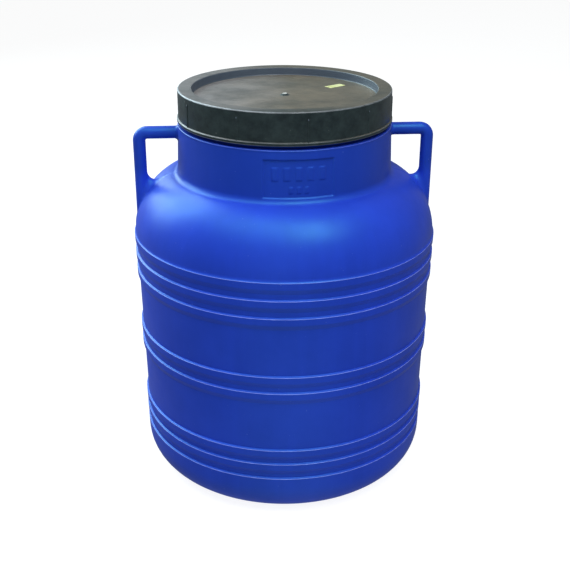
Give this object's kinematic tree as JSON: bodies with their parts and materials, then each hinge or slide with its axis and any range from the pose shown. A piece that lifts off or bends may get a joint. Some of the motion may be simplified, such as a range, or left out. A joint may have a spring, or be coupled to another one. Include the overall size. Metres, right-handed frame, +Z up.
{
  "type": "plastic open head drum",
  "caption": "Wide-mouth plastic drum with a domed shoulder, raised hoops, side handles moulded on the neck and a recessed screw lid.",
  "frame": {"origin": "centre of the base, on the plane of the ring that the drum stands on", "axes": "+Z up along the drum's axis, the embossed panel on the neck faces -Y, the two handles lie along +X and -X"},
  "size_m": [0.406, 0.4058, 0.53],
  "materials": {
    "drum_body": "satin blow-moulded blue polyethylene with soft scuffs",
    "lid": "satin moulded black polyethylene, dusty on top",
    "gasket": "smooth black sealing rubber",
    "sticker": "pale yellow paper"
  },
  "bodies": {
    "drum": {"drum_shell": "drum_body", "handle_left": "drum_body", "handle_right": "drum_body"},
    "seal": {"lid_gasket": "gasket"},
    "lid": {"screw_lid": "lid", "lid_sticker": "sticker"}
  },
  "joints": [
    {"name": "lid_rise", "type": "slide", "parent": "drum", "child": "seal", "axis": [0, 0, 1], "range_m": [0, 0.0661]},
    {"name": "lid_turn", "type": "hinge", "parent": "seal", "child": "lid", "pos_m": [0, 0, 0.51], "axis": [0, 0, 1], "range_deg": [0, 1980]}
  ],
  "couplings": [
    {"joint": "lid_rise", "follows": "lid_turn", "m_per_rad": 0.0019099}
  ]
}
